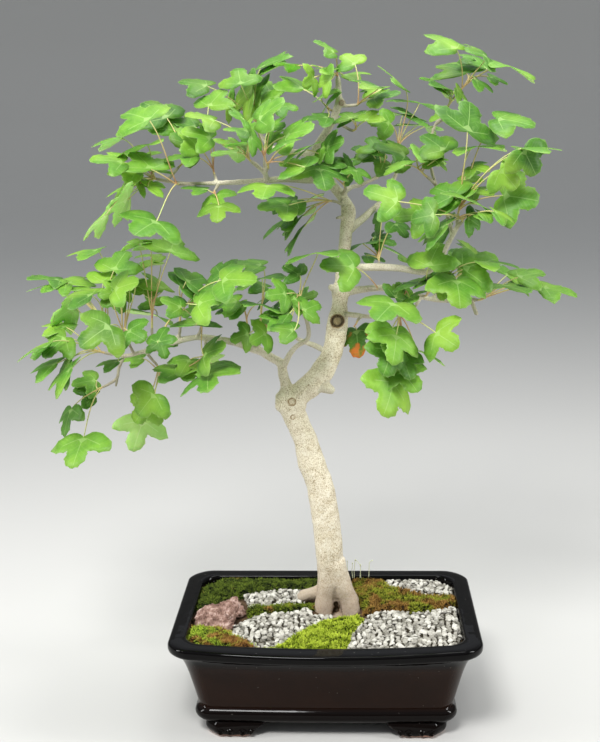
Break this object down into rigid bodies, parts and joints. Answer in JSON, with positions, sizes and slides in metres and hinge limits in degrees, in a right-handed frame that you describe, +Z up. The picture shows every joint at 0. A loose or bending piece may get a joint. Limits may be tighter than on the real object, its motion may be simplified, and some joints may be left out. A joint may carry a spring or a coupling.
{
  "type": "potted maple bonsai tree",
  "caption": "Small maple tree with airy layered branches, growing in a glazed rectangular pot with soil, moss, crushed stone and a porous rock.",
  "frame": {"origin": "centre of the bounding box's bottom face, at table height under the whole tree and pot", "axes": "+X to the right of the front view, +Y from the front to the back, +Z up"},
  "size_m": [0.5636, 0.2601, 0.6735],
  "materials": {
    "glaze": "glossy dark brown-black glaze, bare clay under the feet",
    "screen": "matte",
    "soil": "damp, granular",
    "moss": "soft, green to yellow-green with brown edges",
    "gravel": "rough crushed light grey stone",
    "rock": "rough, porous, pinkish",
    "bark": "smooth grey-beige bark with dark specks",
    "leaf": "satin leaf, paler underneath, thin pink stalks"
  },
  "bodies": {
    "root": {"pot": "glaze", "drain_screen_left": "screen", "drain_screen_right": "screen", "soil": "soil", "moss_back_left": "moss", "moss_middle_left": "moss", "moss_front_left": "moss", "moss_front_middle": "moss", "moss_right": "moss", "gravel_back_left": "gravel", "gravel_front_left": "gravel", "gravel_front_right": "gravel", "gravel_back_right": "gravel", "rock": "rock", "trunk": "bark", "spray_left_tip": "leaf", "spray_left_upper": "leaf", "spray_left_inner": "leaf", "spray_left_rise": "leaf", "spray_left_crown": "leaf", "spray_left_bow": "leaf", "spray_left_drop": "leaf", "spray_hanging_middle": "leaf", "spray_hanging_left": "leaf", "spray_middle_left_low": "leaf", "spray_middle_left_high": "leaf", "spray_middle_left_front": "leaf", "spray_fork_inner": "leaf", "spray_fork_back": "leaf", "spray_upper_left_tip": "leaf", "spray_upper_left_back": "leaf", "spray_upper_left_middle": "leaf", "spray_upper_left_fan": "leaf", "spray_upper_left_drop": "leaf", "spray_upper_bow": "leaf", "spray_upper_fan": "leaf", "spray_upper_fan_low": "leaf", "spray_upper_middle": "leaf", "spray_crown_left": "leaf", "spray_crown_top": "leaf", "spray_crown_right": "leaf", "spray_crown_inner": "leaf", "spray_joint": "leaf", "spray_crown_back": "leaf", "spray_right_behind": "leaf", "spray_right_riser": "leaf", "spray_top_right": "leaf", "spray_top_right_low": "leaf", "spray_right_upper": "leaf", "spray_right_upper_low": "leaf", "spray_right_shield": "leaf", "spray_right_middle": "leaf", "spray_right_dark": "leaf", "spray_right_inner": "leaf", "spray_right_lower": "leaf", "spray_trunk_side": "leaf", "spray_trunk_front": "leaf", "spray_branch_back": "leaf", "spray_inner_left": "leaf", "spray_inner_front": "leaf"}
  },
  "joints": []
}
